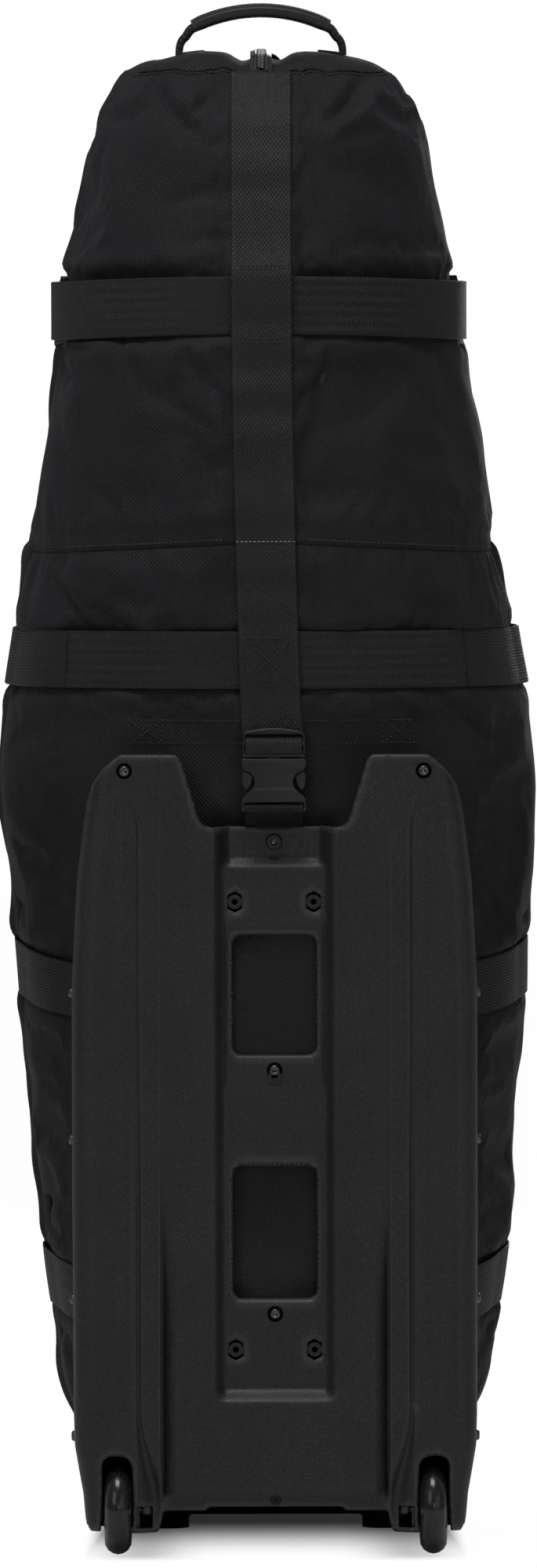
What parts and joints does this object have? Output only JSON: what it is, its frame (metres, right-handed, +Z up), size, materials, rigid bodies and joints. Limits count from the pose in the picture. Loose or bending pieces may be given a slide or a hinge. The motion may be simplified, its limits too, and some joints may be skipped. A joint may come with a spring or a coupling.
{
  "type": "golf travel case",
  "caption": "Upright wheeled soft travel case for a golf bag: padded fabric body, moulded shell with in-line wheels, webbing straps, buckle, zip flaps and top handle.",
  "frame": {"origin": "on the ground under the centre of the bounding box", "axes": "+Z up, -Y towards the wheels and moulded shell, +X to the right seen from the shell side"},
  "size_m": [0.4442, 0.3657, 1.296],
  "materials": {
    "moulded_shell": "fine leathery moulded grain, charcoal",
    "moulded_base": "fine grain",
    "foot_rubber": "matt",
    "tyre": "smooth polished urethane",
    "wheel_hub": "satin",
    "steel": "zinc plated",
    "black_screw": "black oxide",
    "webbing": "plain woven polypropylene webbing with stitching",
    "strap_herringbone": "herringbone webbing",
    "buckle_plastic": "satin moulded acetal",
    "grip_rubber": "satin moulded rubber",
    "zip_chain": "moulded coil",
    "zip_metal": "black lacquered",
    "padding": "foam with knitted lining",
    "body_fabric": "padded black twill nylon"
  },
  "bodies": {
    "body": {"wheelbase_shell": "moulded_shell", "base_tray": "moulded_base", "base_pad": "padding", "foot_pads": "foot_rubber", "axle_bolt_left": "steel", "axle_bolt_right": "steel", "axle_nuts": "steel", "axle_washers": "steel", "shell_screws_back": "black_screw", "shell_screws_side": "black_screw", "clamp_nuts": "steel", "pocket_bolts": "black_screw", "back_panel_lower": "body_fabric", "back_panel_upper": "body_fabric", "side_panel_lower_left": "body_fabric", "side_panel_lower_right": "body_fabric", "side_panel_upper_left": "body_fabric", "side_panel_upper_right": "body_fabric", "front_panel_lower": "body_fabric", "front_panel_upper_left": "body_fabric", "front_panel_upper_right": "body_fabric", "shoe_pocket_left": "body_fabric", "shoe_pocket_right": "body_fabric", "top_panel_left": "body_fabric", "top_panel_right": "body_fabric", "vertical_strap": "webbing", "compression_strap": "strap_herringbone", "mid_band": "webbing", "side_band_upper": "webbing", "side_band_lower": "webbing", "buckle_socket": "buckle_plastic", "socket_loop": "webbing", "handle_anchors": "webbing", "zip_teeth_upper": "zip_chain", "club_head_padding": "padding", "cinch_strap": "webbing"},
    "wheel_left": {"tyre_left": "tyre", "wheel_hub_left": "wheel_hub", "wheel_bearings_left": "steel", "bearing_spacer_left": "steel"},
    "wheel_right": {"tyre_right": "tyre", "wheel_hub_right": "wheel_hub", "wheel_bearings_right": "steel", "bearing_spacer_right": "steel"},
    "handle": {"handle_webbing": "webbing", "handle_grip": "grip_rubber"},
    "flap_left": {"front_flap_left": "body_fabric", "flap_band_left": "webbing", "zip_teeth_left": "zip_chain"},
    "flap_right": {"front_flap_right": "body_fabric", "flap_band_right": "webbing", "zip_teeth_right": "zip_chain"},
    "slider": {"zip_slider": "zip_metal"},
    "puller": {"zip_puller": "zip_metal"},
    "plug": {"buckle_plug": "buckle_plastic"},
    "latch_left": {"buckle_latch_left": "buckle_plastic"},
    "latch_right": {"buckle_latch_right": "buckle_plastic"},
    "tri_glide": {"strap_tri_glide": "buckle_plastic"}
  },
  "joints": [
    {"name": "wheel_left_spin", "type": "hinge", "parent": "body", "child": "wheel_left", "pos_m": [-0.132, -0.145, 0.038], "axis": [1, 0, 0], "continuous": true},
    {"name": "wheel_right_spin", "type": "hinge", "parent": "body", "child": "wheel_right", "pos_m": [0.132, -0.145, 0.038], "axis": [1, 0, 0], "continuous": true},
    {"name": "handle_swing", "type": "hinge", "parent": "body", "child": "handle", "pos_m": [0, 0, 1.267], "axis": [1, 0, 0], "range_deg": [-38, 38]},
    {"name": "flap_left_open", "type": "hinge", "parent": "body", "child": "flap_left", "pos_m": [-0.152, 0.14, 0.65], "axis": [0, 0, 1], "range_deg": [0, 100]},
    {"name": "flap_right_open", "type": "hinge", "parent": "body", "child": "flap_right", "pos_m": [0.152, 0.14, 0.65], "axis": [0, 0, -1], "range_deg": [0, 100]},
    {"name": "zip_slide", "type": "slide", "parent": "body", "child": "slider", "axis": [0, -0.2425, 0.9701], "range_m": [0, 0.075]},
    {"name": "puller_flip", "type": "hinge", "parent": "slider", "child": "puller", "pos_m": [0, 0.13565, 1.11723], "axis": [1, 0, 0], "range_deg": [0, 150]},
    {"name": "buckle_release", "type": "slide", "parent": "body", "child": "plug", "axis": [0, 0, 1], "range_m": [0, 0.028]},
    {"name": "latch_left_press", "type": "hinge", "parent": "plug", "child": "latch_left", "pos_m": [-0.0145, -0.1595, 0.666], "axis": [0, -1, 0], "range_deg": [0, 8]},
    {"name": "latch_right_press", "type": "hinge", "parent": "plug", "child": "latch_right", "pos_m": [0.0145, -0.1595, 0.666], "axis": [0, 1, 0], "range_deg": [0, 8]},
    {"name": "tri_glide_slide", "type": "slide", "parent": "body", "child": "tri_glide", "axis": [1, 0, 0], "range_m": [-0.01, 0.01]}
  ],
  "couplings": [
    {"joint": "latch_left_press", "follows": "latch_right_press", "ratio": 1}
  ]
}
